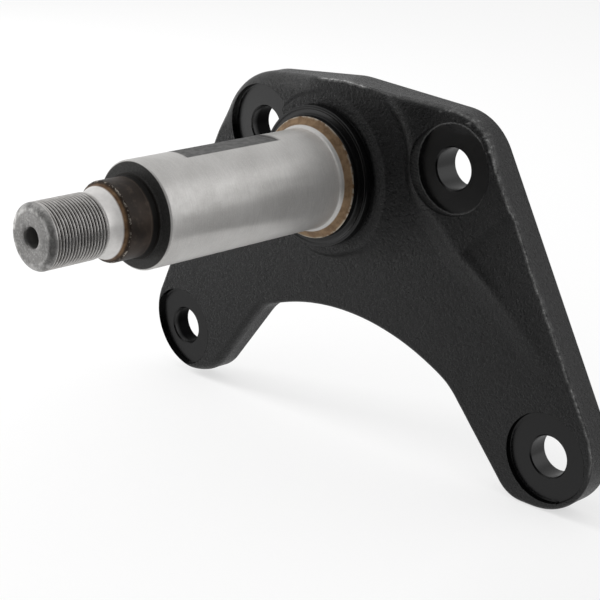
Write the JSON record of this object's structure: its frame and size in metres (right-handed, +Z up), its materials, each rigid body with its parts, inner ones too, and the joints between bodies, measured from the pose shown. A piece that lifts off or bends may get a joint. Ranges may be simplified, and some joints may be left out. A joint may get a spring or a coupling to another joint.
{
  "type": "leaf spring bracket",
  "caption": "Forged leaf spring bracket of a heavy vehicle: an arched frame plate with bolt holes in its corners and a ground stub shaft with a threaded end.",
  "frame": {"origin": "where the shaft axis meets the plate's flat back face", "axes": "-Y along the stub shaft, away from the plate; +X towards the right leg as seen from the shaft's end; +Z up"},
  "size_m": [0.3557, 0.235, 0.2205],
  "materials": {
    "painted_forging": "black satin paint over a rough forged skin",
    "ground_steel": "ground and turned bare steel"
  },
  "bodies": {
    "root": {"bracket": "painted_forging"}
  },
  "joints": []
}
